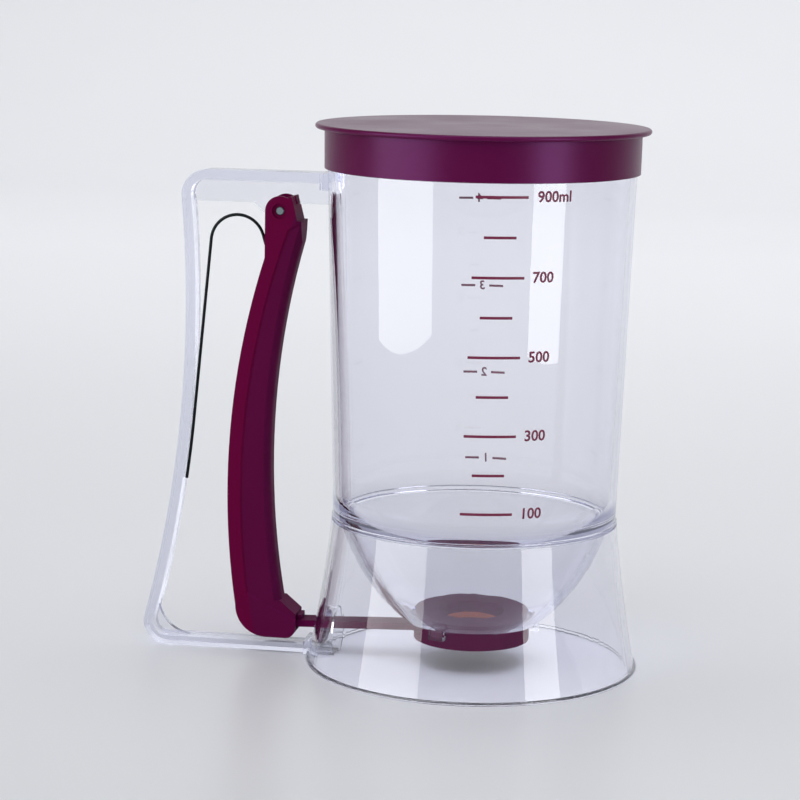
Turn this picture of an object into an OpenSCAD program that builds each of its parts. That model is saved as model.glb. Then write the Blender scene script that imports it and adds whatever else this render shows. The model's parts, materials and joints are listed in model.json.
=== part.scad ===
// Batter dispenser: a clear jug with a funnel bottom, a squeeze trigger in an open handle
// and a sliding shutter under the outlet.
// Millimetres. Origin at the centre of the base ring on the table, +Z up, handle towards -X.

/* [Jug] */
// Height of the seam between the jug and its base
seam_z = 51; // [48:0.5:56]
// Height of the plain wall, from the seam to the stepped rim
wall_h = 120.5; // [110:0.5:130]
// Height of the stepped rim that the lid slips over
rim_h = 13.5; // [11:0.5:15]
// Outer radius of the jug at the seam
seam_r = 48.9; // [47:0.1:51]
// Outer radius of the jug just below the stepped rim
brim_r = 52.5; // [51:0.1:55]
// Thickness of the jug wall
jug_wall = 2.6; // [2.2:0.1:3]
// How far the rim steps in under the lid
rim_step = 0.7; // [0.4:0.1:1]
// Radius of the half-round bead that covers the seam
bead_r = 0.9; // [0.6:0.1:1.2]
// How far the bead stands out
bead_out = 0.5; // [0.3:0.1:0.6]
// Height of the hollow curve inside that joins the funnel to the plain wall
ledge_h = 10; // [6:0.5:14]

/* [Funnel] */
// Radius of the funnel's curved wall, seen in section
bowl_curve_r = 65; // [58:1:80]
// Outer radius of the funnel where it leaves the seam
bowl_top_r = 46.2; // [44:0.1:46.4]
// Height of the outlet's lower edge
outlet_z = 15.2; // [14.5:0.1:18]
// Inner radius of the outlet
outlet_r = 20.5; // [19.5:0.1:21.5]
// Thickness of the outlet's edge
outlet_wall = 2.4; // [2:0.1:3]
// Number of bayonet hooks round the outlet
hook_count = 3; // [2:1:3]
// Depth of a bayonet hook below the outlet
hook_drop = 3; // [2.8:0.1:3.2]
// Width of a bayonet hook, as an angle
hook_span = 14; // [10:1:18]
// Thickness of a hook's ledge
ledge_t = 1.1; // [0.9:0.1:1.3]

/* [Base] */
// Outer radius of the base at the seam
skirt_top_r = 49.4; // [49.3:0.1:52]
// Outer radius of the base on the table
foot_r = 57.7; // [56:0.1:59]
// Radius of the base's hollow curve, seen in section
skirt_curve_r = 560; // [400:10:900]
// Thickness of the base wall
skirt_wall = 2.4; // [2:0.1:2.6]
// Width of the foot ring
foot_w = 2.8; // [2.6:0.1:4.5]
// Height of the foot ring
foot_h = 1.3; // [1.2:0.1:2]
// Width of the arched slot for the pull bar
slot_w = 15; // [13:0.5:17]
// Height of the slot
slot_h = 9.5; // [9:0.1:11]
// Height of the slot's sill above the table
slot_z = 6; // [5.6:0.1:6.4]
// Length of the guide sleeve inside the slot
sleeve_l = 7; // [5:0.5:9]
// Thickness of the guide sleeve
sleeve_t = 1.4; // [1.2:0.1:1.8]

/* [Lid] */
// How far the lid's flange stands out beyond its band
lid_lip = 3.2; // [1.5:0.1:6]
// Thickness of the lid's plate
lid_t = 1.8; // [1.4:0.1:2.6]
// How far the band stops above the jug's shoulder
band_short = 0.2; // [0.1:0.1:4]
// Thickness of the band
band_t = 1.6; // [1.2:0.1:2]
// Thickness of the ring inside the rim
plug_t = 1.4; // [1:0.1:2]
// Depth of the ring inside the rim
plug_h = 8; // [5:0.5:10]

/* [Handle] */
// Width of the handle's band
band_w = 8; // [7:0.5:10]
// How far the top arm lies below the stepped rim
arm_drop = 2.3; // [2:0.1:6]
// Thickness of the top arm
top_arm_t = 3.6; // [3:0.1:4]
// Thickness of the column behind the trigger
column_t = 3.4; // [2.8:0.1:3.6]
// Thickness of the lower arm
low_arm_t = 3.1; // [2.4:0.1:3.2]
// Height of the lower arm above the table
low_arm_z = 0.3; // [0.2:0.1:0.8]
// Reach of the column's waist beyond the jug
waist_out = 49.6; // [48:0.1:54]
// Height of the column's waist
waist_z = 121; // [112:1:128]
// Radius of the column's curve
column_curve_r = 430; // [400:10:600]
// Outer radius of the upper corner
top_corner_r = 9; // [7:0.5:11]
// Outer radius of the lower corner
low_corner_r = 8; // [6:0.5:10]
// Inner radius of the handle's corners
inner_corner_r = 4.5; // [3:0.5:6]
// Thickness of the webs in the corners and round the pivot
web_t = 2.2; // [1.6:0.1:3]
// Depth of the web below the top arm
web_drop = 7.4; // [5:0.1:8]
// Radius of the small web in the lower corner
gusset_r = 13; // [9:0.5:16]
// Width of the pads where the arms meet the jug and the base
root_w = 12; // [10:0.5:14]
// Thickness of those pads
root_t = 2.6; // [2:0.1:3.5]
// Wall of the boss round the pivot pin
boss_wall = 1.5; // [1.2:0.1:1.6]
// Reach of the web round the boss, towards the column
lobe_out = 6.8; // [6:0.1:8]
// Depth of that lobe below the web
lobe_drop = 3.4; // [2:0.1:4]

/* [Trigger] */
// Distance of the pivot from the jug
pivot_out = 16.3; // [15.5:0.1:17]
// Distance of the pivot below the top of the handle
pivot_drop = 13.3; // [13:0.1:14]
// Width of the trigger
trigger_w = 12.4; // [11:0.1:14]
// Thickness of the trigger's walls
trigger_wall = 1.9; // [1.6:0.1:2.2]
// Distance of the finger side from the jug at its belly
grip_out = 19.1; // [18.5:0.1:20.5]
// Height of the belly on the finger side
grip_z = 69; // [62:1:76]
// Radius of the finger side
grip_curve_r = 285; // [275:5:340]
// Radius of the rounded edges along the finger side
grip_edge_r = 4.2; // [2:0.1:4.4]
// Depth of the trigger at its belly
trigger_d = 14.7; // [13:0.1:15.5]
// Height of the belly on the back
back_z = 58; // [50:1:64]
// Radius of the back
back_curve_r = 275; // [265:5:330]
// Width of the raised band along the back of each flank
flank_band = 5.1; // [4:0.1:6]
// Depth of the sunken panel in each flank
panel_step = 0.5; // [0.3:0.1:0.8]
// Width of the slope that leads down to the panel
panel_slope = 0.7; // [0.4:0.1:1.2]
// Angle of the panel's upper and lower ends
panel_end_a = 28; // [15:1:35]
// Distance of the panel's upper end below the pivot, at the finger side
panel_top_drop = 4.6; // [4:0.1:8]
// Height of the panel's lower end above the bar, at the finger side
panel_low_rise = 4; // [3:0.1:6]
// Distance of the toe's face from the jug
toe_out = 9.2; // [9:0.1:9.6]
// Height of the toe's face above the bar
toe_rise = 3.6; // [3.5:0.1:4.2]
// Height above the bar at which the toe runs into the finger side
toe_end_rise = 8.2; // [7:0.1:10]
// Height of the trigger's lower end above the table
heel_z = 5.6; // [5.2:0.1:6]
// Radius of the rounded heel at the bottom
heel_r = 11; // [10:0.2:12]
// Radius of the corner under the bar
toe_r = 3.4; // [2.6:0.1:4]
// Radius of the head round the pivot
head_r = 5.1; // [4.9:0.1:5.6]
// Distance of the head's front from the pivot
head_front = 5.2; // [5.2:0.1:5.6]
// Lean of the head's front, as an angle
head_lean = 14; // [8:1:18]
// Height of the head's front above the pivot
head_rise = 3.8; // [3:0.1:4.2]
// Distance of the finger side's upper end from the jug
shoulder_out = 8.8; // [8:0.1:9.5]
// Depth of that end below the pivot
shoulder_drop = 3.4; // [3:0.1:5]
// Radius of the pivot pin
pin_r = 1.5; // [1.2:0.1:1.6]
// Depth of the round recess over each end of the pin
pin_recess = 0.7; // [0.4:0.1:0.9]
// Radius of that recess
recess_r = 2.6; // [2.2:0.1:3]

/* [Return spring] */
// Radius of the spring wire
wire_r = 0.55; // [0.3:0.05:0.7]
// Radius of the arch over the top
arch_r = 9.4; // [8.5:0.1:10]
// Distance of the arch's centre from the pivot, towards the column
arch_out = 16; // [15.6:0.1:17]
// Distance of the arch's centre below the pivot
arch_drop = 11.7; // [11:0.1:13]
// Height of the wire's end on the column
wire_low_z = 60; // [50:1:75]
// Height of the wire's end inside the trigger
wire_tip_z = 124; // [118:1:130]

/* [Valve] */
// Radius of the hole that the batter leaves by
hole_r = 9.5; // [8:0.1:9.6]
// How far the shutter overlaps the hole all round
shutter_lap = 2; // [1.5:0.1:2.2]
// Thickness of the shutter plate
shutter_t = 1.6; // [1.2:0.1:1.8]
// Height of the cap's top above the outlet's edge
cap_rise = 3.4; // [3:0.1:4]
// Thickness of the cap's outer wall
cap_wall = 1.8; // [1.4:0.1:2.2]
// Thickness of the cap's floor
floor_t = 1.5; // [1.2:0.1:1.8]
// Depth of the drip lip under the floor
lip_h = 0.8; // [0.5:0.1:1]
// Radius of the throat at the top of the cap
throat_r = 11.4; // [10.6:0.1:12]
// Thickness of the seal
seal_t = 2; // [1.6:0.1:2.2]
// Width of the seal's ring
seal_w = 5.3; // [4.5:0.1:5.6]
// Width of the pull bar
bar_w = 8; // [6:0.1:8]
// Thickness of the pull bar
bar_t = 2.4; // [2:0.1:2.8]
// How much lower the bar lies at the trigger than at the cap
bar_fall = 1.4; // [0.6:0.1:1.8]
// Height of the catches above the bar
catch_h = 1.8; // [1.7:0.1:2]
// Thickness of a catch
catch_t = 1.3; // [1:0.1:1.6]

/* [Clearances] */
// Between the lid and the rim
lid_gap = 0.3; // [0.25:0.05:0.4]
// Between flat faces that slide on each other
slide_gap = 0.1; // [0.05:0.05:0.2]
// Between the pin and the trigger
pin_gap = 0.06; // [0.02:0.01:0.1]
// Between loose fitting pieces
loose_gap = 0.3; // [0.25:0.05:0.4]

// Between clear mouldings that are welded together
weld_gap = 0.05; // [0.02:0.01:0.1]

/* [Hidden] */
$fn = 96;

// How far the handle is drawn into the jug before it is trimmed to the wall
root_in = 8;
// How far a cut runs past the face that it cuts
over = 1;
// Farther than anything near it reaches, for trimming
far = 30;

clear_plastic = [0.86, 0.88, 0.94, 0.4];
plum = [0.33, 0.05, 0.24];

// Heights that follow from the sizes above
shoulder_z = seam_z + wall_h;
rim_z = shoulder_z + rim_h;
arm_top_z = shoulder_z - arm_drop;
web_z = arm_top_z - top_arm_t - web_drop;
low_arm_top_z = low_arm_z + low_arm_t;
pivot = [-(brim_r + pivot_out), arm_top_z - pivot_drop];

// The valve is stacked downwards from the outlet's edge
seal_top_z = outlet_z - 0.3;
shutter_top_z = seal_top_z - seal_t - slide_gap;
floor_z = shutter_top_z - shutter_t - slide_gap;
cap_low_z = floor_z - floor_t - lip_h;
cap_top_z = outlet_z + cap_rise;
cap_r = outlet_r - 0.4;
shutter_r = hole_r + shutter_lap;

// The pull bar runs from the cap down to the trigger's toe
bar_x0 = -(cap_r + 0.5);
bar_z0 = shutter_top_z - shutter_t / 2;
bar_z1 = bar_z0 - bar_fall;

// The column is part of a ring whose centre lies far behind the handle
column_c = [-(brim_r + waist_out) - column_curve_r, waist_z];
// The finger side and the back of the trigger are arcs whose centres lie beyond the jug
grip_x = -(brim_r + grip_out);
grip_c = [grip_x + grip_curve_r, grip_z];
back_x = grip_x - trigger_d;
back_c = [back_x + back_curve_r, back_z];
half_inside = trigger_w / 2 - trigger_wall;
flank = trigger_w / 2 - panel_step;
shoulder = [-(brim_r + shoulder_out), pivot[1] - shoulder_drop];
// Centres of the rounded heel and of the corner under the bar
heel_c = [wall_x(back_c, back_curve_r, heel_z + heel_r) + heel_r, heel_z + heel_r];
toe_x = -(brim_r + toe_out);
toe_c = [toe_x - toe_r, heel_z + toe_r];
toe_end_z = bar_z1 + toe_end_rise;
// The window in the finger side for the bar: play above the bar, and room for the swing below it
window_over = 0.35;
window_under = 1.8;
catch_z = bar_z1 + bar_t / 2 + catch_h;
rear_x = toe_x - trigger_wall - loose_gap;

function jug_r(z) = seam_r + (brim_r - seam_r) * (z - seam_z) / wall_h;
// Where a circle crosses the height z, on its right and on its left
function ring_x(c, r, z) = c[0] + sqrt(r * r - pow(z - c[1], 2));
function wall_x(c, r, z) = c[0] - sqrt(r * r - pow(z - c[1], 2));
function unit(v) = v / norm(v);
// Centre of an arc of radius r through p and q, to the left of the way from p to q
function arc_centre(p, q, r) =
    let(d = q - p, h = sqrt(r * r - d * d / 4)) (p + q) / 2 + h * unit([-d[1], d[0]]);
// Centre of a corner of radius r between the column's circle and a level line
function corner_centre(ring, line_z, r, side) =
    let(z = line_z - side * r) [ring_x(column_c, ring + r, z), z];

// Draws an outline given in x and z as a plate of width w, centred on y = 0
module plate(w) rotate([90, 0, 0]) linear_extrude(w, center = true) children();

// A rectangle from corner p to corner q
module rect(p, q) translate(p) square(q - p);

// A round, drawn finely enough for the large curves
module disc(c, r) translate(c) circle(r, $fn = r > 60 ? 256 : 64);

// ---- Jug: tapered wall, stepped rim, funnel and outlet in one moulding ----

bowl_c = arc_centre([outlet_r + outlet_wall, outlet_z], [bowl_top_r, seam_z], bowl_curve_r);
// Inside, a ledge joins the funnel to the wall: an arc that starts upright at the wall
inner_r = bowl_curve_r - jug_wall;
ledge_z = seam_z - 0.2;
ledge_in = ring_x(bowl_c, inner_r, ledge_z);
ledge_out = jug_r(ledge_z + ledge_h) - jug_wall;
ledge_r = (pow(ledge_out - ledge_in, 2) + pow(ledge_h, 2)) / (2 * (ledge_out - ledge_in));

module jug_outside() {
    polygon([[0, seam_z], [seam_r, seam_z], [brim_r, shoulder_z], [0, shoulder_z]]);
    rect([0, shoulder_z - 1], [brim_r - rim_step, rim_z]);
    intersection() {
        disc(bowl_c, bowl_curve_r);
        rect([0, outlet_z], [bowl_top_r, seam_z + 1]);
    }
    disc([seam_r + bead_out - bead_r, seam_z + bead_r], bead_r);
}

module jug_inside() {
    intersection() {
        disc(bowl_c, inner_r);
        rect([0, outlet_z - over], [brim_r, ledge_z]);
    }
    intersection() {
        disc([ledge_out - ledge_r, ledge_z + ledge_h], ledge_r);
        rect([0, ledge_z - 0.1], [ledge_out, ledge_z + ledge_h]);
    }
    rect([0, ledge_z - 0.1], [ledge_in, ledge_z + ledge_h]);
    polygon([[0, ledge_z + ledge_h - 0.1], [ledge_out, ledge_z + ledge_h - 0.1],
             [ledge_out, ledge_z + ledge_h], [jug_r(rim_z + over) - jug_wall, rim_z + over],
             [0, rim_z + over]]);
    rect([0, outlet_z - over], [outlet_r, outlet_z + 4]);
}

// An L-shaped hook under the outlet, with a ledge that carries one lug of the cap
module bayonet_hook() {
    ledge_in = cap_r + loose_gap;
    leg_out = outlet_r + outlet_wall + 0.7;
    rotate([0, 0, -hook_span / 2]) rotate_extrude(angle = hook_span) {
        rect([leg_out - 1.5, outlet_z - hook_drop], [leg_out, outlet_z + 0.8]);
        rect([ledge_in, outlet_z - hook_drop], [leg_out, outlet_z - hook_drop + ledge_t]);
    }
}

// The hooks keep clear of the shutter's way out at -X
module each_hook() for (i = [0:hook_count - 1]) rotate([0, 0, 246 + i * 360 / hook_count]) children();

module jug() {
    color(clear_plastic) {
        rotate_extrude() difference() {
            jug_outside();
            jug_inside();
        }
        each_hook() bayonet_hook();
    }
}

// ---- Base: flared skirt, open below, with an arched slot and guide for the pull bar ----

skirt_c = arc_centre([skirt_top_r, seam_z], [foot_r - 0.6, 0], skirt_curve_r);

function skirt_r(z) = skirt_c[0] - sqrt(pow(skirt_curve_r, 2) - pow(z - skirt_c[1], 2));

// The foot ring: flat below, half round outside
module foot_section() {
    rect([foot_r - foot_w, 0], [foot_r - foot_h / 2, foot_h]);
    disc([foot_r - foot_h / 2, foot_h / 2], foot_h / 2);
}

module skirt_section() {
    intersection() {
        difference() {
            disc(skirt_c, skirt_curve_r + skirt_wall);
            disc(skirt_c, skirt_curve_r);
        }
        rect([0, 0], [foot_r, seam_z - weld_gap]);
    }
    foot_section();
}

// Everything inside the base's outer face, grown by t, for trimming what meets it
module skirt_envelope(t) {
    rotate_extrude() {
        difference() {
            rect([0, 0], [foot_r + t, seam_z]);
            disc(skirt_c, skirt_curve_r - t);
        }
        rect([0, 0], [foot_r - foot_h / 2, foot_h + t]);
        disc([foot_r - foot_h / 2, foot_h / 2], foot_h / 2 + t);
    }
}

// Everything inside the jug's tapered wall, grown by t
module wall_envelope(t) {
    rotate_extrude() polygon([[0, seam_z], [seam_r + t, seam_z], [brim_r + t, shoulder_z], [0, shoulder_z]]);
}

// The arched outline of the slot, in y and z, grown by t
module arch(t) {
    half = slot_w / 2 + t;
    spring_z = slot_z + slot_h - slot_w / 2;
    disc([0, spring_z], half);
    intersection() {
        rect([-half, slot_z - t], [half, spring_z]);
        rect([-half, 0], [half, spring_z]);
    }
}

module slot_prism(t, x0, x1) translate([x0, 0, 0]) rotate([90, 0, 90]) linear_extrude(x1 - x0) arch(t);

module base_skirt() {
    sleeve_end = skirt_r(slot_z + slot_h / 2) - sleeve_l;
    color(clear_plastic) difference() {
        union() {
            rotate_extrude() skirt_section();
            intersection() {
                slot_prism(sleeve_t, -foot_r, -sleeve_end);
                skirt_envelope(0);
            }
        }
        slot_prism(0, -foot_r - 1, 1 - sleeve_end);
    }
}

// ---- Handle: an open frame with a curved column and thin webs ----

module corner_cut(c, r, toward_ring, toward_line) {
    difference() {
        polygon([c, c + 2 * r * toward_ring, c + 3 * r * unit(toward_ring + toward_line),
                 c + 2 * r * toward_line]);
        disc(c, r);
    }
}

// Cuts or fills both corners on the column side of a region whose edge is the given ring
module column_corners(ring, low_z, high_z, low_r, high_r) {
    high_c = corner_centre(ring, high_z, high_r, 1);
    low_c = corner_centre(ring, low_z, low_r, -1);
    corner_cut(high_c, high_r, unit(column_c - high_c), [0, 1]);
    corner_cut(low_c, low_r, unit(column_c - low_c), [0, -1]);
}

module frame_region(ring, low_z, high_z, low_r, high_r) {
    difference() {
        rect([column_c[0] + ring * 0.9, low_z], [-brim_r + root_in, high_z]);
        disc(column_c, ring);
        column_corners(ring, low_z, high_z, low_r, high_r);
    }
}

module frame_outside() frame_region(column_curve_r, low_arm_z, arm_top_z, low_corner_r, top_corner_r);

module frame_opening() {
    frame_region(column_curve_r + column_t, low_arm_top_z, arm_top_z - top_arm_t, inner_corner_r,
                 inner_corner_r);
}

boss_r = pin_r + boss_wall;

// The lobe of the web that reaches down to the boss: its end falls at 45 degrees from the web
module boss_lobe() {
    low_z = web_z - lobe_drop;
    polygon([[pivot[0] - lobe_out - lobe_drop, web_z], [pivot[0] - lobe_out, low_z], [pivot[0], low_z],
             [pivot[0], web_z]]);
}

module web_outline() {
    gusset = [ring_x(column_c, column_curve_r, low_arm_z + gusset_r), low_arm_z];
    gusset_w = column_t + gusset_r;
    intersection() {
        frame_outside();
        union() {
            rect([column_c[0], web_z], [-brim_r + root_in, arm_top_z]);
            boss_lobe();
            difference() {
                rect(gusset - [far, 0], gusset + [gusset_w, low_arm_t + gusset_r]);
                disc([gusset[0] + gusset_w, low_arm_top_z + gusset_r], gusset_r);
            }
        }
    }
}

// A round bar or hole along the pivot's axis
module across_pivot(l, r) {
    translate([pivot[0], 0, pivot[1]]) rotate([90, 0, 0]) cylinder(h = l, r = r, center = true);
}

module handle_frame() {
    boss_l = 2 * (half_inside - 2 * slide_gap);
    top_pad_h = 1.6 * top_arm_t;
    low_pad_h = 1.5 * low_arm_t;
    color(clear_plastic) difference() {
        union() {
            plate(band_w) difference() {
                frame_outside();
                frame_opening();
            }
            plate(web_t) web_outline();
            across_pivot(boss_l, boss_r);
            translate([-brim_r - root_t, -root_w / 2, arm_top_z - top_pad_h])
                cube([root_in, root_w, top_pad_h]);
            translate([-foot_r - over, -root_w / 2, low_arm_z]) cube([root_in, root_w, low_pad_h]);
        }
        wall_envelope(weld_gap);
        skirt_envelope(weld_gap);
        across_pivot(far, pin_r);
    }
}

// ---- Lid: flanged plate, outer band and inner ring ----

lid_z = rim_z + slide_gap;
band_r = brim_r - rim_step + lid_gap;
lid_r = band_r + band_t + lid_lip;

module lid() {
    plug_r = jug_r(rim_z - plug_h) - jug_wall - lid_gap;
    color(plum) rotate_extrude() {
        rect([0, lid_z], [lid_r - lid_t / 2, lid_z + lid_t]);
        intersection() {
            disc([lid_r - lid_t / 2, lid_z + lid_t / 2], lid_t / 2);
            rect([0, lid_z], [lid_r, lid_z + lid_t]);
        }
        polygon([[band_r, lid_z + 0.1], [band_r, shoulder_z + band_short],
                 [band_r + band_t - 0.1, shoulder_z + band_short], [band_r + band_t + 0.1, lid_z + 0.1]]);
        rect([plug_r - plug_t, rim_z - plug_h], [plug_r, lid_z + 0.1]);
    }
}

// ---- Trigger: a channel open at the back, with a forked head and a window for the pull bar ----

// The limb from the heel up to the shoulder; the finger side is cut later by the turned section
module limb_outline() {
    neck_x = pivot[0] - head_r;
    neck_z = back_z + sqrt(pow(back_curve_r, 2) - pow(back_c[0] - neck_x, 2));
    intersection() {
        disc(back_c, back_curve_r);
        union() {
            rect([back_x - over, heel_c[1]], [heel_c[0] + over, shoulder[1]]);
            rect([heel_c[0], toe_end_z], shoulder);
        }
    }
    rect([neck_x, neck_z], shoulder);
}

// The closed lower end: the rounded heel, the corner under the bar and the toe
module foot_outline() {
    intersection() {
        disc(heel_c, heel_r);
        rect(heel_c - [heel_r, heel_r], heel_c);
    }
    rect([heel_c[0], heel_z], [toe_c[0], toe_c[1]]);
    disc(toe_c, toe_r);
    polygon([[heel_c[0], toe_c[1]], [toe_x, toe_c[1]], [toe_x, bar_z1 + toe_rise],
             [wall_x(grip_c, grip_curve_r, toe_end_z), toe_end_z], [heel_c[0], toe_end_z]]);
}

// The hollow in the lower end, with room for the catch inside the toe
module foot_hollow() {
    t = trigger_wall;
    intersection() {
        disc(heel_c, heel_r - t);
        rect(heel_c - [heel_r, heel_r], heel_c + [0, heel_r]);
    }
    rect([heel_c[0], heel_z + t], [toe_c[0], heel_c[1]]);
    disc(toe_c, toe_r - t);
    rect([toe_c[0], toe_c[1]], [toe_x - t, catch_z + window_over]);
}

// The front of the head leans back; drawn smaller by t to hollow it
module head_block(low, t) {
    translate(pivot) rotate(head_lean) rect([-low, -low], [head_front - t, t > 0 ? far : head_rise]);
}

module trigger_outline() {
    limb_outline();
    foot_outline();
    disc(pivot, head_r);
    rect([pivot[0] - head_r, shoulder[1] - over], [pivot[0], pivot[1]]);
    intersection() {
        head_block(far, 0);
        rect([pivot[0], shoulder[1] - over], pivot + [far, far]);
    }
}

// The hollow inside: open at the back along the limb and all round the head
module trigger_hollow() {
    shelf_z = shoulder[1] - trigger_wall;
    difference() {
        rect([back_x - over, heel_c[1]], [shoulder[0] - trigger_wall, shelf_z]);
        disc(grip_c, grip_curve_r + trigger_wall);
    }
    intersection() {
        head_block(far, trigger_wall);
        rect([back_x - over, shelf_z - 0.1], [shoulder[0], arm_top_z]);
    }
    foot_hollow();
}

// The limb's section, turned about the centre of the finger side, with rounded edges there
module limb_turned() {
    half = trigger_w / 2;
    r = grip_edge_r;
    translate([grip_c[0], 0, grip_c[1]]) rotate([90, 0, 0]) rotate_extrude($fn = 256) {
        rect([grip_curve_r + r, -half], [grip_curve_r + far, half]);
        rect([grip_curve_r, r - half], [grip_curve_r + r, half - r]);
        for (s = [-1, 1]) intersection() {
            disc([grip_curve_r + r, s * (half - r)], r);
            rect([grip_curve_r, -half], [grip_curve_r + r, half]);
        }
    }
}

// What lies beyond one end of the panels: it starts at p on the finger side and falls to the back
module beyond_end(p, side) {
    translate([p[0], 0, p[1]]) rotate([0, side * panel_end_a, 0]) mirror([0, 0, side > 0 ? 0 : 1])
        rotate([90, 0, 90]) linear_extrude(2 * far, center = true)
            polygon([[panel_step - flank, panel_slope], [-flank - 2 * panel_step, -2 * panel_slope],
                     [-flank - 2 * panel_step, -far], [panel_step - flank, -far]]);
}

// The sunken panel in the flank at -Y, with sloped edges
module sunken_panel() {
    edge_r = back_curve_r - flank_band;
    low_z = bar_z1 + panel_low_rise;
    difference() {
        translate([back_c[0], 0, back_c[1]]) rotate([90, 0, 0]) rotate_extrude($fn = 256)
            polygon([[edge_r - far, flank], [edge_r, flank],
                     [edge_r + 2 * panel_slope, flank + 2 * panel_step],
                     [edge_r - far, flank + 2 * panel_step]]);
        beyond_end([wall_x(grip_c, grip_curve_r, low_z), low_z], 1);
        beyond_end([shoulder[0], pivot[1] - panel_top_drop], -1);
    }
}

module trigger() {
    window_h = bar_t + window_under + window_over;
    slot_w = web_t + 2 * loose_gap;
    color(plum) difference() {
        intersection() {
            plate(trigger_w) trigger_outline();
            union() {
                limb_turned();
                plate(trigger_w) {
                    rect([back_x, shoulder[1]], [shoulder[0], arm_top_z]);
                    rect([back_x, 0], [toe_x + over, toe_end_z]);
                }
            }
        }
        for (s = [0, 1]) mirror([0, s, 0]) sunken_panel();
        plate(2 * half_inside) trigger_hollow();
        translate([toe_x - 2 * trigger_wall, -bar_w / 2 - loose_gap, bar_z1 - bar_t / 2 - window_under])
            cube([3 * trigger_wall, bar_w + 2 * loose_gap, window_h]);
        plate(slot_w) rect([pivot[0], web_z - loose_gap], [shoulder[0], arm_top_z]);
        across_pivot(far, pin_r + pin_gap);
        for (s = [-1, 1]) translate([0, s * trigger_w / 2, 0]) across_pivot(2 * pin_recess, recess_r);
    }
}

module trigger_pin() {
    l = trigger_w - 2 * pin_recess + 0.4;
    chamfer = 0.3;
    color("silver") translate([pivot[0], 0, pivot[1]]) rotate([90, 0, 0])
        rotate_extrude() polygon([[0, -l / 2], [pin_r - chamfer, -l / 2], [pin_r, chamfer - l / 2],
                                  [pin_r, l / 2 - chamfer], [pin_r - chamfer, l / 2], [0, l / 2]]);
}

// ---- Return spring: one bent wire between the column and the inside of the trigger ----

arch_c = pivot - [arch_out, arch_drop];
leg_r = column_curve_r + column_t + wire_r;
tip = [grip_c[0] - sqrt(pow(grip_curve_r + trigger_wall, 2) - pow(wire_tip_z - grip_z, 2)) - wire_r - 0.1,
       wire_tip_z];
// Angles, seen from the front: where the leg ends, where it leaves the column for the arch,
// and where the arch lets go towards the tip
low_a = asin((wire_low_z - column_c[1]) / leg_r);
leave_a = let(v = arch_c - column_c) atan2(v[1], v[0]) - acos((leg_r + arch_r) / norm(v));
tip_a = let(v = tip - arch_c) atan2(v[1], v[0]) + acos(arch_r / norm(v));

function polar(c, r, a) = c + r * [cos(a), sin(a)];

// A piece of wire bent round c, from angle a to angle b
module bent_wire(c, r, a, b) {
    translate([c[0], 0, c[1]]) rotate([90, 0, 0]) rotate([0, 0, a])
        rotate_extrude(angle = b - a, $fn = r > 60 ? 256 : 64) translate([r, 0]) circle(wire_r, $fn = 24);
}

// A straight piece of wire from p to q
module straight_wire(p, q) {
    v = q - p;
    translate([p[0], 0, p[1]]) rotate([0, 90 - atan2(v[1], v[0]), 0])
        cylinder(h = norm(v), r = wire_r, $fn = 24);
}

module return_spring() {
    color([0.16, 0.17, 0.19]) {
        for (p = [polar(column_c, leg_r, leave_a), polar(arch_c, arch_r, 180 + leave_a),
                  polar(arch_c, arch_r, tip_a)])
            translate([p[0], 0, p[1]]) sphere(wire_r + 0.02, $fn = 24);
        bent_wire(column_c, leg_r, low_a, leave_a);
        straight_wire(polar(column_c, leg_r, leave_a), polar(arch_c, arch_r, 180 + leave_a));
        bent_wire(arch_c, arch_r, tip_a, 180 + leave_a);
        straight_wire(polar(arch_c, arch_r, tip_a), tip);
    }
}

// ---- Valve: bayonet cap, seal and sliding shutter ----

seal_r = hole_r + 0.3;

module valve_cap() {
    retain_r = seal_r + seal_w + 0.1;
    color(plum) difference() {
        union() {
            rotate_extrude() {
                rect([cap_r - cap_wall, cap_low_z], [cap_r, cap_top_z]);
                rect([hole_r, cap_low_z + lip_h], [cap_r - 0.5, floor_z]);
                rect([hole_r, cap_low_z], [hole_r + 1.5, cap_low_z + lip_h + 0.1]);
                polygon([[throat_r, cap_top_z], [cap_r - 0.5, cap_top_z], [cap_r - 0.5, cap_top_z - 1.6],
                         [throat_r + 2.2, cap_top_z - 1.6], [seal_r + 3, seal_top_z + 1.2],
                         [retain_r + 1.2, seal_top_z + 1.2], [retain_r + 1.2, seal_top_z - 0.6 * seal_t],
                         [retain_r, seal_top_z - 0.6 * seal_t], [retain_r, seal_top_z],
                         [seal_r, seal_top_z]]);
            }
            each_hook() rotate([0, 0, -hook_span / 2 + 2]) rotate_extrude(angle = hook_span - 4)
                rect([cap_r - 0.5, outlet_z - hook_drop + ledge_t],
                     [outlet_r + outlet_wall - 1.1, outlet_z - 0.2]);
        }
        translate([-cap_r - 5, -shutter_r - loose_gap, floor_z])
            cube([15, 2 * (shutter_r + loose_gap), shutter_t + 3 * slide_gap]);
    }
}

module valve_seal() {
    color([0.45, 0.16, 0.1]) rotate_extrude()
        rect([seal_r, seal_top_z - seal_t], [seal_r + seal_w, seal_top_z]);
}

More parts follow.
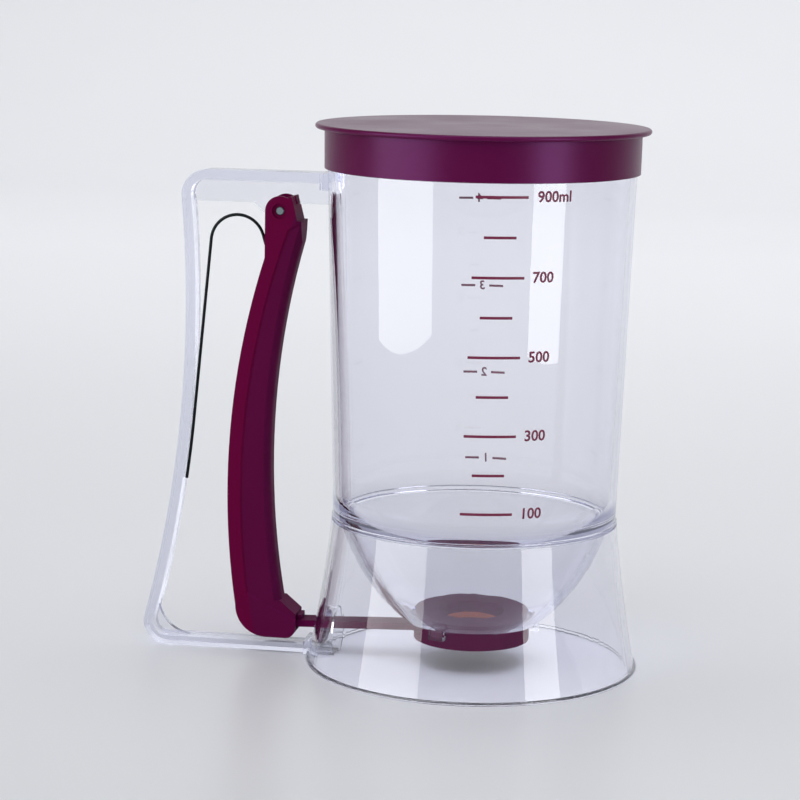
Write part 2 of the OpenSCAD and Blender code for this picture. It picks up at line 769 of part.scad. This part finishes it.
module valve_slide() {
    run = bar_x0 - rear_x + catch_t + loose_gap;
    fall_a = atan2(bar_fall, bar_x0 - toe_x);
    neck_x = bar_x0 - 2.5;
    catch_w = bar_w - 1;
    plate_z = shutter_top_z - shutter_t;
    color(plum) {
        translate([0, 0, plate_z]) linear_extrude(shutter_t) {
            circle(shutter_r);
            rect([-shutter_r, -shutter_r], [0, shutter_r]);
            polygon([[-shutter_r, -shutter_r], [-shutter_r, shutter_r], [neck_x, catch_w / 2],
                     [neck_x, -catch_w / 2]]);
        }
        translate([bar_x0, 0, bar_z0]) rotate([0, -fall_a, 0])
            translate([-run, -bar_w / 2, -bar_t / 2]) cube([run, bar_w, bar_t]);
        for (x = [toe_x + loose_gap, rear_x - catch_t])
            translate([x, -catch_w / 2, bar_z1]) cube([catch_t, catch_w, catch_z - bar_z1]);
    }
}

jug();
base_skirt();
handle_frame();
lid();
trigger();
trigger_pin();
return_spring();
valve_cap();
valve_seal();
valve_slide();
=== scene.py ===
"""Looks of a hand-held batter dispenser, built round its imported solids.

A clear jug with a funnel bottom stands on a flared clear base. A plum trigger in an open clear
handle pulls a shutter under the funnel, and a plum lid is pushed over the rim.
Metres, +Z up, the handle towards -X, the main scale facing -Y.
"""

import json
import math

import bmesh
import bpy
from mathutils import Matrix, Vector

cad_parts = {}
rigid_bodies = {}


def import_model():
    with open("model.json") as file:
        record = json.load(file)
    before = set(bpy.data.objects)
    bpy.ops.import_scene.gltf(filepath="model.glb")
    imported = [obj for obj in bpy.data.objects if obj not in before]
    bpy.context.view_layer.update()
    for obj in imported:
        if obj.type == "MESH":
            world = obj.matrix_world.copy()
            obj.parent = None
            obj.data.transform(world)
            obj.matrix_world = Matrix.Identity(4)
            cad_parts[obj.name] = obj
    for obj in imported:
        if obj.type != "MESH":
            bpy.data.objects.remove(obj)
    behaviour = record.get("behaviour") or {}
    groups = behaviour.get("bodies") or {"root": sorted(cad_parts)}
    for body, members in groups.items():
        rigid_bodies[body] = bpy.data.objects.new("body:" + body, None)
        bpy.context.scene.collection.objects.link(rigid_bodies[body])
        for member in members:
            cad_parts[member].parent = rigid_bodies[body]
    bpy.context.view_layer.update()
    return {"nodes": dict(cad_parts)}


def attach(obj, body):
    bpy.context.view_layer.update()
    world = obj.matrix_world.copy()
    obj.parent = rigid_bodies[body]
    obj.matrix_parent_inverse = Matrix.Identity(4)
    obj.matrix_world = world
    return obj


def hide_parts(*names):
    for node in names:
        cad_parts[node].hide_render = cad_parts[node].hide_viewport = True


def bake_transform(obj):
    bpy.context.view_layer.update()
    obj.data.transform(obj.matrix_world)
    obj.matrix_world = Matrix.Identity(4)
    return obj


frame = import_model()
nodes = frame["nodes"]


# ---------------------------------------------------------------- clear mouldings
# The base, the jug and the handle are three injection mouldings in one clear styrene plastic,
# welded together. Where light runs a long way inside it the plastic turns a pale blue violet.

PLASTIC_IOR = 1.49
TINT_DENSITY = 45.0
TRAPPED_AFTER = 2.5
LET_THROUGH = (0.93, 0.93, 0.96, 1)
# The grey strip along the foot's lower edge is painted shade, a painted contact shadow on the
# table.
FOOT_SHADE_HEIGHT = 0.0003
FOOT_SHADE_WANDER = 0.0005
CONTACT_SHADE_GREY = (0.22, 0.22, 0.25, 1)


class Socket:
    """A value in a node tree: a node's output, on which sums and products add Math nodes."""

    def __init__(self, tree, output):
        self.tree = tree
        self.output = output

    def math(self, operation, other, swap=False):
        node = self.tree.nodes.new("ShaderNodeMath")
        node.operation = operation
        terms = [other, self] if swap else [self, other]
        for place, term in zip(node.inputs, terms):
            plug(self.tree, term, place)
        return Socket(self.tree, node.outputs[0])

    def __add__(self, other):
        return self.math("ADD", other)

    def __sub__(self, other):
        return self.math("SUBTRACT", other)

    def __rsub__(self, other):
        return self.math("SUBTRACT", other, swap=True)

    def __mul__(self, other):
        return self.math("MULTIPLY", other)

    def __mod__(self, other):
        return self.math("MODULO", other)

    __radd__ = __add__
    __rmul__ = __mul__


def plug(tree, value, place):
    """Links a Socket to an input, or sets the input's own number or colour."""
    if isinstance(value, Socket):
        tree.links.new(value.output, place)
    else:
        place.default_value = value


class Nodes:
    """A node tree that is written as calls."""

    family = "ShaderNode"

    def node(self, kind, settings=None, out=0, places=None, **values):
        """A node with its settings, then the values or links of its inputs; gives one output.

        Inputs go by name, or by number in 'places' where two share a name. 'kind' leaves out the
        tree's family, and is written in full for a node of another one.
        """
        made = self.tree.nodes.new(kind if "Node" in kind else self.family + kind)
        for name, setting in (settings or {}).items():
            if name == "ramp":
                fill_ramp(made.color_ramp, setting)
            else:
                setattr(made, name, setting)
        for number, value in (places or {}).items():
            plug(self.tree, value, made.inputs[number])
        for name, value in values.items():
            plug(self.tree, value, made.inputs[name.replace("_", " ")])
        return Socket(self.tree, made.outputs[out]) if made.outputs else None


def fill_ramp(ramp, stops):
    """Sets a colour ramp's stops, each a position and a grey."""
    while len(ramp.elements) < len(stops):
        ramp.elements.new(1.0)
    for element, (position, grey) in zip(ramp.elements, stops):
        element.position = position
        element.color = (grey, grey, grey, 1)


class Finish(Nodes):
    """One material."""

    def __init__(self, name):
        self.material = bpy.data.materials.new(name)
        self.material.use_nodes = True
        self.tree = self.material.node_tree
        self.tree.nodes.clear()

    def place(self, stretch=(1, 1, 1)):
        """Object coordinates; a pattern runs long where the stretch is under 1."""
        coordinates = self.node("TexCoord", out="Object")
        return self.node("Mapping", Vector=coordinates, Scale=stretch)

    def noise(self, scale, detail=2.0, stretch=(1, 1, 1)):
        return self.node("TexNoise", Vector=self.place(stretch), Scale=scale, Detail=detail)

    def bump(self, height, strength, distance):
        return self.node("Bump", Height=height, Strength=strength, Distance=distance)

    def mix(self, factor, a, b):
        """A colour between a and b."""
        return self.node("Mix", {"data_type": "RGBA"}, out=2, places={0: factor, 6: a, 7: b})

    def blend(self, first, second, factor):
        """One shader where the factor is 0 and the other where it is 1."""
        return self.node("MixShader", Fac=factor, places={1: first, 2: second})

    def finished(self, surface, **inside):
        """The material with this surface and, on a clear one, its Volume."""
        self.node("OutputMaterial", Surface=surface, **inside)
        return self.material


def clear_styrene(name, tint, ripple, contact_shade_height=0.0):
    """Clear plastic: a slow ripple from moulding, fine handling marks and a tint in the depth.

    Below a given height its edge is painted grey, a painted contact shadow where the foot stands
    on the table.
    """
    f = Finish(name)
    flow = f.noise(55, detail=1.0, stretch=(1, 1, 0.35))
    marks = f.noise(900, detail=3.0, stretch=(1, 1, 3))
    scuffs = f.node("ValToRGB", {"ramp": [(0.62, 0.0), (0.8, 1.0)]}, Fac=marks)
    plastic = f.node(
        "BsdfPrincipled",
        Base_Color=(0.985, 0.985, 1.0, 1),
        Roughness=0.012 + scuffs * 0.05,
        IOR=PLASTIC_IOR,
        Transmission_Weight=1.0,
        Normal=f.bump(flow, ripple, 0.0004),
    )
    # Shadows, and light caught in a thick corner, pass straight through, or both would turn black.
    through = f.node("BsdfTransparent", Color=LET_THROUGH)
    shadow = f.node("LightPath", out="Is Shadow Ray")
    trapped = f.node("LightPath", out="Glossy Depth").math("GREATER_THAN", TRAPPED_AFTER)
    surface = f.blend(plastic, through, shadow.math("MAXIMUM", trapped))
    # Painted shade: a grey strip along the bottom of the foot stands in for its contact shadow on
    # the table.
    if contact_shade_height:
        height = f.node("SeparateXYZ", out="Z", Vector=f.place())
        edge = f.noise(1400) * FOOT_SHADE_WANDER + height
        painted_contact_shade = f.node("BsdfPrincipled", Base_Color=CONTACT_SHADE_GREY, Roughness=0.6)
        surface = f.blend(surface, painted_contact_shade, edge.math("LESS_THAN", contact_shade_height))
    depth = f.node("VolumeAbsorption", Color=tint, Density=TINT_DENSITY)
    return f.finished(surface, Volume=depth)


base_plastic = clear_styrene("clear_base", (0.87, 0.88, 0.98, 1), 0.12, FOOT_SHADE_HEIGHT)
jug_plastic = clear_styrene("clear_jug", (0.80, 0.82, 0.97, 1), 0.10)
handle_plastic = clear_styrene("clear_handle", (0.48, 0.52, 0.78, 1), 0.15)
nodes["base_skirt"].data.materials[0] = base_plastic
nodes["jug"].data.materials[0] = jug_plastic
nodes["handle_frame"].data.materials[0] = handle_plastic


# ---------------------------------------------------------------- printed scales
# Screen-printed in plum ink on the outside of the jug: millilitres in front, with a number at
# every other line, and a second scale of four numbered lines at the back.

PRINT_GAP = 0.00004
PRINT_THICK = 0.00003
PRINT_WELD = 0.00001
SEAM_Z, SEAM_R = 0.051, 0.0489
SHOULDER_Z, BRIM_R = 0.1715, 0.0525
TWIST_Z = 0.10
FRONT_BEARING = math.radians(13)
FRONT_TWIST = 0.45
FRONT_LINES = 9
FRONT_LOW_Z, FRONT_PITCH = 0.0628, 0.01305
FRONT_LONG, FRONT_SHORT = 0.0172, 0.0106
FRONT_LINE_HEIGHT = 0.0009
NUMBER_X, TOP_NUMBER_X = 0.0151, 0.0179
NUMBER_SIZE = 0.0050
BACK_BEARING = math.radians(185)
BACK_TWIST = 0.96
BACK_LINES = 4
BACK_LOW_Z, BACK_PITCH = 0.0633, 0.03145
BACK_DASH = 0.0052
BACK_DASH_X = 0.0052
BACK_LINE_HEIGHT = 0.0008
CUP_SIZE = 0.0044
STROKE_SHARE = 0.022


def wall_radius(z):
    """The outside of the jug's wall, which widens evenly from the seam to the shoulder."""
    return SEAM_R + (BRIM_R - SEAM_R) * (z - SEAM_Z) / (SHOULDER_Z - SEAM_Z)


def printing_ink():
    """Ink with a slightly uneven coat and a soft gloss."""
    f = Finish("scale_ink")
    coat = f.noise(2600)
    colour = f.mix(coat, (0.10, 0.002, 0.024, 1), (0.15, 0.004, 0.042, 1))
    ink = f.node("BsdfPrincipled", Base_Color=colour, Roughness=0.35 + coat * 0.15)
    return f.finished(ink)


def in_scene(name, data):
    """A new object at the origin, linked to the scene."""
    made = bpy.data.objects.new(name, data)
    bpy.context.scene.collection.objects.link(made)
    return made


class Growth(Nodes):
    """A tree of Geometry Nodes with named inputs, which grows into one plain mesh."""

    family = "GeometryNode"

    def __init__(self, name, **sizes):
        self.tree = bpy.data.node_groups.new(name, "GeometryNodeTree")
        face = self.tree.interface
        face.new_socket("Geometry", in_out="INPUT", socket_type="NodeSocketGeometry")
        face.new_socket("Geometry", in_out="OUTPUT", socket_type="NodeSocketGeometry")
        self.sizes = {}
        for label, size in sizes.items():
            kind = "NodeSocketInt" if isinstance(size, int) else "NodeSocketFloat"
            socket = face.new_socket(label, in_out="INPUT", socket_type=kind)
            self.sizes[socket.identifier] = size

    def given(self, label):
        """One of the tree's own inputs."""
        return self.node("NodeGroupInput", out=label)

    def vector(self, x, y, z):
        """Three numbers as one vector."""
        return self.node("ShaderNodeCombineXYZ", X=x, Y=y, Z=z)

    def grown(self, result, mesh, material):
        """The mesh that the tree makes of 'mesh', in one material."""
        real = self.node("RealizeInstances", Geometry=result)
        painted = self.node("SetMaterial", Geometry=real, Material=material)
        self.node("NodeGroupOutput", places={0: painted})
        holder = in_scene("growing", mesh)
        modifier = holder.modifiers.new("growth", "NODES")
        modifier.node_group = self.tree
        for key, size in self.sizes.items():
            modifier[key] = size
        depsgraph = bpy.context.evaluated_depsgraph_get()
        plain = bpy.data.meshes.new_from_object(holder.evaluated_get(depsgraph))
        bpy.data.objects.remove(holder)
        return plain


def scale_lines(name, count, low_z, pitch, long, short, height, middle=0.0):
    """Printed lines one above the other, the first one long and every other one short."""
    g = Growth(
        name,
        Count=count,
        Low_Z=low_z,
        Pitch=pitch,
        Long=long,
        Short=short,
        Height=height,
        Middle=middle,
    )
    rows = g.node(
        "MeshLine",
        Count=g.given("Count"),
        Start_Location=g.vector(g.given("Middle"), 0.0, g.given("Low_Z")),
        Offset=g.vector(0.0, 0.0, g.given("Pitch")),
    )
    strip = g.node("MeshGrid", Size_X=1.0, Size_Y=g.given("Height"), Vertices_X=17, Vertices_Y=2)
    upright = g.node("Transform", Geometry=strip, Rotation=(math.pi / 2, 0, 0))
    every_other = g.node("InputIndex") % 2
    length = g.given("Long") + every_other * (g.given("Short") - g.given("Long"))
    lines = g.node(
        "InstanceOnPoints", Points=rows, Instance=upright, Scale=g.vector(length, 1.0, 1.0)
    )
    return g.grown(lines, bpy.data.meshes.new(name), ink)


def digits(rows, size):
    """Printed words, each with its middle at a given x and z, as flat meshes."""
    meshes = []
    for text, x, z in rows:
        curve = bpy.data.curves.new("digits", "FONT")
        curve.body = text
        curve.size = size
        curve.align_x = "CENTER"
        curve.align_y = "CENTER"
        curve.resolution_u = 3
        curve.offset = size * STROKE_SHARE
        holder = in_scene("digits", curve)
        bpy.context.view_layer.update()
        mesh = bpy.data.meshes.new_from_object(holder)
        mesh.transform(Matrix.Translation((x, 0, z)) @ Matrix.Rotation(math.pi / 2, 4, "X"))
        bpy.data.objects.remove(holder)
        meshes.append(mesh)
    return meshes


def print_piece(name, meshes, bearing, twist):
    """Joins flat prints, gives them their thickness and lays them round the jug's wall.

    The prints stand slightly askew: 'twist' is in radians for each metre of height.
    """
    sheet = bmesh.new()
    for mesh in meshes:
        sheet.from_mesh(mesh)
    bmesh.ops.remove_doubles(sheet, verts=sheet.verts, dist=PRINT_WELD)
    bmesh.ops.recalc_face_normals(sheet, faces=sheet.faces)
    for face in sheet.faces:
        if face.normal.y > 0:
            face.normal_flip()
    under = bmesh.ops.duplicate(sheet, geom=list(sheet.faces))
    twins = under["vert_map"]
    lower = [g for g in under["geom"] if isinstance(g, bmesh.types.BMFace)]
    bmesh.ops.reverse_faces(sheet, faces=lower)
    upper = set(sheet.faces) - set(lower)
    rims = [e for e in sheet.edges if len(e.link_faces) == 1 and e.link_faces[0] in upper]
    for edge in rims:
        loop = edge.link_loops[0]
        a, b = loop.vert, loop.link_loop_next.vert
        sheet.faces.new((b, a, twins[a], twins[b]))
    for face in lower:
        for v in face.verts:
            v.co.y = PRINT_THICK
    for v in sheet.verts:
        r = wall_radius(v.co.z)
        a = bearing + v.co.x / r + twist * (v.co.z - TWIST_Z)
        r += PRINT_GAP + PRINT_THICK - v.co.y
        v.co = Vector((r * math.sin(a), -r * math.cos(a), v.co.z))
    mesh = bpy.data.meshes.new(name)
    sheet.to_mesh(mesh)
    sheet.free()
    mesh.materials.clear()
    mesh.materials.append(ink)
    piece = in_scene(name, mesh)
    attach(piece, "housing")


ink = printing_ink()
front_lines = scale_lines(
    "front_lines",
    FRONT_LINES,
    FRONT_LOW_Z,
    FRONT_PITCH,
    long=FRONT_LONG,
    short=FRONT_SHORT,
    height=FRONT_LINE_HEIGHT,
)
numbers = [
    (f"{100 + 100 * i}", NUMBER_X, FRONT_LOW_Z + FRONT_PITCH * i)
    for i in range(0, FRONT_LINES - 1, 2)
]
numbers.append(("900ml", TOP_NUMBER_X, FRONT_LOW_Z + (FRONT_LINES - 1) * FRONT_PITCH))
print_piece(
    "scale_front", [front_lines, *digits(numbers, NUMBER_SIZE)], FRONT_BEARING, FRONT_TWIST
)
back_lines = [
    scale_lines(
        f"back_lines_{side}",
        BACK_LINES,
        BACK_LOW_Z,
        BACK_PITCH,
        long=BACK_DASH,
        short=BACK_DASH,
        height=BACK_LINE_HEIGHT,
        middle=BACK_DASH_X * side,
    )
    for side in (-1, 1)
]
cups = [(f"{1 + i}", 0.0, BACK_LOW_Z + BACK_PITCH * i) for i in range(BACK_LINES)]
print_piece("scale_back", [*back_lines, *digits(cups, CUP_SIZE)], BACK_BEARING, BACK_TWIST)


# ---------------------------------------------------------------- plum mouldings
# The lid, the trigger, the pull bar with its shutter and the valve cap are moulded in one opaque
# plum plastic with a fine satin grain. The lid has more gloss than the rest. The trigger's back is
# painted a little brighter and redder than its panels, a painted highlight for how light falls on
# it.

PLUM_SHEEN = (0.8, 0.35, 1.0, 1)
TRIGGER_BACK_X, TRIGGER_BACK_Z = 0.1887, 0.058
PANEL_EDGE_R = 0.2699
BAND_SHARPNESS = 250


def trigger_back(f):
    """1 on the strip along the trigger's back, outside its panels, and 0 elsewhere.

    The back and the panels' edge are arcs about one centre, TRIGGER_BACK_X and TRIGGER_BACK_Z.
    """
    place = f.place()
    x = f.node("SeparateXYZ", out="X", Vector=place) - TRIGGER_BACK_X
    z = f.node("SeparateXYZ", out="Z", Vector=place) - TRIGGER_BACK_Z
    past_edge = (x * x + z * z) * (1 / PANEL_EDGE_R**2) - 1
    return (past_edge * BAND_SHARPNESS + 0.5).math("MAXIMUM", 0).math("MINIMUM", 1)


def plum_plastic(name, colour, dusty, roughness, grain, gloss, lit_back_colour=None):
    """Satin plum plastic with a fine mould grain, faint flow marks and a bloom of fine scuffs.

    The last argument, where given, is a lighter colour painted on the strip along the back of the
    trigger: painted light, for how light falls on that strip more than on the panels.
    """
    f = Finish(name)
    flow = f.noise(38, detail=3.0, stretch=(1, 1, 0.6))
    fine = f.noise(5200, detail=1.0)
    cloud = f.node("ValToRGB", {"ramp": [(0.35, 0.0), (0.75, 1.0)]}, Fac=flow)
    tone = f.mix(cloud * 0.5, colour, dusty)
    if lit_back_colour:
        # Painted light: the strip along the trigger's back gets a brighter, redder colour than the
        # panels, for how light falls on it.
        tone = f.mix(trigger_back(f), tone, lit_back_colour)
    body = f.node(
        "BsdfPrincipled",
        Base_Color=tone,
        Roughness=(roughness - 0.04) + cloud * 0.08 + fine * 0.06,
        IOR=PLASTIC_IOR,
        Specular_IOR_Level=gloss,
        Specular_Tint=PLUM_SHEEN,
        Normal=f.bump(fine, grain, 0.00006),
    )
    return f.finished(body)


lid_plastic = plum_plastic(
    "plum_lid",
    (0.064, 0.0012, 0.028, 1),
    (0.075, 0.003, 0.038, 1),
    roughness=0.30,
    grain=0.35,
    gloss=0.28,
)
trigger_plastic = plum_plastic(
    "plum_trigger",
    (0.064, 0.0018, 0.025, 1),
    (0.073, 0.0030, 0.032, 1),
    roughness=0.55,
    grain=0.45,
    gloss=0.07,
    # The lighter colour of the back strip is a painted highlight.
    lit_back_colour=(0.084, 0.0005, 0.023, 1),
)
valve_plastic = plum_plastic(
    "plum_valve",
    (0.056, 0.0013, 0.024, 1),
    (0.065, 0.003, 0.031, 1),
    roughness=0.55,
    grain=0.30,
    gloss=0.05,
)
nodes["lid"].data.materials[0] = lid_plastic
nodes["trigger"].data.materials[0] = trigger_plastic
nodes["valve_cap"].data.materials[0] = valve_plastic
nodes["valve_slide"].data.materials[0] = valve_plastic


# ---------------------------------------------------------------- seal
# A soft ring of orange silicone, moulded by itself and pressed in under the valve cap's top. The
# shutter slides against it.


def silicone():
    """Rubber with a cloudy colour and a dull sheen."""
    f = Finish("seal_silicone")
    cloud = f.noise(400)
    colour = f.mix(cloud, (0.30, 0.055, 0.02, 1), (0.42, 0.10, 0.05, 1))
    rubber = f.node("BsdfPrincipled", Base_Color=colour, Roughness=0.42 + cloud * 0.1)
    return f.finished(rubber)


nodes["valve_seal"].data.materials[0] = silicone()


# ---------------------------------------------------------------- pivot pin
# A plain turned steel rod, pressed through the handle's boss. Its ends are left bare in the round
# recesses of the trigger's head.


def turned_steel(name, colour, roughness):
    """Steel with fine lines round its axis, which runs along Y."""
    f = Finish(name)
    lines = f.noise(2600, stretch=(1, 0.05, 1))
    steel = f.node(
        "BsdfPrincipled",
        Base_Color=colour,
        Metallic=1.0,
        Roughness=roughness + lines * 0.12,
        Normal=f.bump(lines, 0.2, 0.00003),
    )
    return f.finished(steel)


nodes["trigger_pin"].data.materials[0] = turned_steel("pin_steel", (0.16, 0.20, 0.21, 1), 0.3)


# ---------------------------------------------------------------- return spring
# One dark drawn wire: it lies along the column, turns over in an arch and rests its tip inside the
# trigger. It is bent cold from straight wire, and the arch closes up as the trigger is squeezed.

WIRE_R = 0.00055
WIRE_SIDES = 16
ARCH = Vector((-0.0848, 0, 0.1442))
ARCH_R = 0.0094
COLUMN_WAIST = Vector((-0.1021, 0, 0.121))
COLUMN_MIDDLE_R = 0.430
COLUMN_INNER_R = 0.4334
LEG_LOW_Z = 0.060
TIP = Vector((-0.06892, 0, 0.124))
LEG_STEPS, ARCH_STEPS, REST_STEPS = 24, 32, 8


def wire_route():
    """Points along the wire, from its end on the column to its tip in the trigger."""
    ring = Vector((COLUMN_WAIST.x - COLUMN_MIDDLE_R, 0, COLUMN_WAIST.z))
    leg_r = COLUMN_INNER_R + WIRE_R

    def bend(centre, radius, start, end, steps):
        """Points on an arc in the plane of the handle."""
        angles = [start + (end - start) * i / steps for i in range(steps + 1)]
        return [centre + radius * Vector((math.cos(a), 0, math.sin(a))) for a in angles]

    away = ARCH - ring
    leave = math.atan2(away.z, away.x) - math.acos((leg_r + ARCH_R) / away.length)
    low = math.asin((LEG_LOW_Z - ring.z) / leg_r)
    reach = TIP - ARCH
    let_go = math.atan2(reach.z, reach.x) + math.acos(ARCH_R / reach.length)
    leg = bend(ring, leg_r, low, leave, LEG_STEPS)
    turn = bend(ARCH, ARCH_R, math.pi + leave, let_go, ARCH_STEPS)
    rest = [turn[-1].lerp(TIP, i / REST_STEPS) for i in range(1, REST_STEPS + 1)]
    return leg + [leg[-1].lerp(turn[0], 0.5)] + turn + rest


def bent_wire():
    """A round tube along the route, in place of the plain packed spring."""
    points = wire_route()
    line = bpy.data.meshes.new("wire_route")
    line.from_pydata(points, [(i, i + 1) for i in range(len(points) - 1)], [])
    g = Growth("wire", Radius=WIRE_R, Sides=WIRE_SIDES)
    path = g.node("MeshToCurve", Mesh=g.given("Geometry"))
    section = g.node(
        "CurvePrimitiveCircle", Resolution=g.given("Sides"), Radius=g.given("Radius")
    )
    tube = g.node("CurveToMesh", Curve=path, Profile_Curve=section, Fill_Caps=True)
    smooth = g.node("SetShadeSmooth", Geometry=tube)
    steel = turned_steel("spring_steel", (0.014, 0.016, 0.017, 1), 0.32)
    wire = in_scene("spring_wire", g.grown(smooth, line, steel))
    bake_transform(wire)
    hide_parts("return_spring")


bent_wire()


# ---------------------------------------------------------------- studio
# A plain pale sweep in a dim room, two low windows in front to the left and right, broad light
# from above, and the camera.

SWEEP_WIDTH = 7.0
SWEEP_DEPTH = 2.6
SWEEP_HEIGHT = 2.2
SWEEP_FRONT = 4.0
SWEEP_CURVE = 0.9
SWEEP_STEPS = 24
ROOM_COLOUR = (0.90, 0.91, 1.0, 1)
ROOM_STRENGTH = 0.2
OBJECT_MIDDLE = (-0.02, 0.0, 0.09)
WINDOW_AIM = (-0.02, 0, 0.26)
WALL_MIDDLE = (0.0, 2.6, 0.8)


def pale_paper():
    """Matt paper with a faint cloud in its tone."""
    f = Finish("pale_sweep")
    cloud = f.noise(3.0)
    tone = f.mix(cloud, (0.79, 0.80, 0.82, 1), (0.83, 0.84, 0.86, 1))
    paper = f.node("BsdfPrincipled", Base_Color=tone, Roughness=0.32 + cloud * 0.05)
    return f.finished(paper)


def sweep():
    """The floor runs level behind the object and curves up into a wall."""
    profile = [(-SWEEP_FRONT, 0.0), (SWEEP_DEPTH - SWEEP_CURVE, 0.0)]
    for i in range(1, SWEEP_STEPS + 1):
        a = math.pi / 2 * i / SWEEP_STEPS
        y = SWEEP_DEPTH - SWEEP_CURVE + SWEEP_CURVE * math.sin(a)
        profile.append((y, SWEEP_CURVE * (1 - math.cos(a))))
    profile.append((SWEEP_DEPTH, SWEEP_HEIGHT))
    points = [(x, y, z) for x in (-SWEEP_WIDTH / 2, SWEEP_WIDTH / 2) for y, z in profile]
    n = len(profile)
    faces = [(i, n + i, n + i + 1, i + 1) for i in range(n - 1)]
    mesh = bpy.data.meshes.new("sweep")
    mesh.from_pydata(points, [], faces)
    mesh.polygons.foreach_set("use_smooth", [True] * len(faces))
    mesh.materials.append(pale_paper())
    return in_scene("sweep", mesh)


def soft_box(name, place, width, height, power, aim=OBJECT_MIDDLE, lit=None):
    """A soft box at 'place', turned towards 'aim', which lights all or only what 'lit' holds."""
    lamp = bpy.data.lights.new(name, "AREA")
    lamp.shape = "RECTANGLE"
    lamp.size = width
    lamp.size_y = height
    lamp.energy = power
    box = in_scene(name, lamp)
    box.location = place
    box.rotation_euler = (Vector(aim) - Vector(place)).to_track_quat("-Z", "Y").to_euler()
    box.visible_transmission = False
    if lit:
        box.light_linking.receiver_collection = lit


shown = bpy.data.collections.new("shown_pieces")
for piece in bpy.context.scene.objects:
    if piece.type == "MESH":
        shown.objects.link(piece)

sweep()

world = bpy.data.worlds.new("soft_room")
bpy.context.scene.world = world
world.use_nodes = True
room = world.node_tree.nodes["Background"]
room.inputs["Color"].default_value = ROOM_COLOUR
room.inputs["Strength"].default_value = ROOM_STRENGTH

soft_box("left_window", (-0.46, -0.39, 0.26), 0.50, 0.52, power=3.4, aim=WINDOW_AIM, lit=shown)
soft_box("right_window", (0.486, -0.322, 0.26), 0.26, 0.52, power=2.2, aim=WINDOW_AIM, lit=shown)
soft_box("top_light", (0.0, -0.30, 2.4), 2.6, 2.6, power=45)
soft_box("wall_light", (0.0, 0.9, 1.7), 4.5, 0.8, power=33, aim=WALL_MIDDLE)
bpy.context.scene.view_settings.view_transform = "Standard"

CAMERA_DISTANCE = 0.87825
CAMERA_HEIGHT = 0.24123
CAMERA_BEARING = math.radians(7.5)
CAMERA_YAW = 0.03014
CAMERA_PITCH = 0.168354
CAMERA_ROLL = 0.019455
FOCAL_PIXELS = 2585.7
FRAME_PIXELS = 800
SENSOR = 36.0

camera_data = bpy.data.cameras.new("camera")
camera_data.sensor_width = SENSOR
camera_data.lens = FOCAL_PIXELS * SENSOR / FRAME_PIXELS
camera_data.clip_start = 0.05
camera = in_scene("camera", camera_data)
facing = CAMERA_BEARING + CAMERA_YAW
level = Vector((-math.sin(facing), math.cos(facing), 0))
right = Vector((math.cos(facing), math.sin(facing), 0))
forward = level * math.cos(CAMERA_PITCH) - Vector((0, 0, math.sin(CAMERA_PITCH)))
up = right.cross(forward)
turned_right = right * math.cos(CAMERA_ROLL) + up * math.sin(CAMERA_ROLL)
turned_up = up * math.cos(CAMERA_ROLL) - right * math.sin(CAMERA_ROLL)
camera.matrix_world = Matrix((turned_right, turned_up, -forward)).transposed().to_4x4()
camera.location = (
    math.sin(CAMERA_BEARING) * CAMERA_DISTANCE,
    -math.cos(CAMERA_BEARING) * CAMERA_DISTANCE,
    CAMERA_HEIGHT,
)
bpy.context.scene.camera = camera
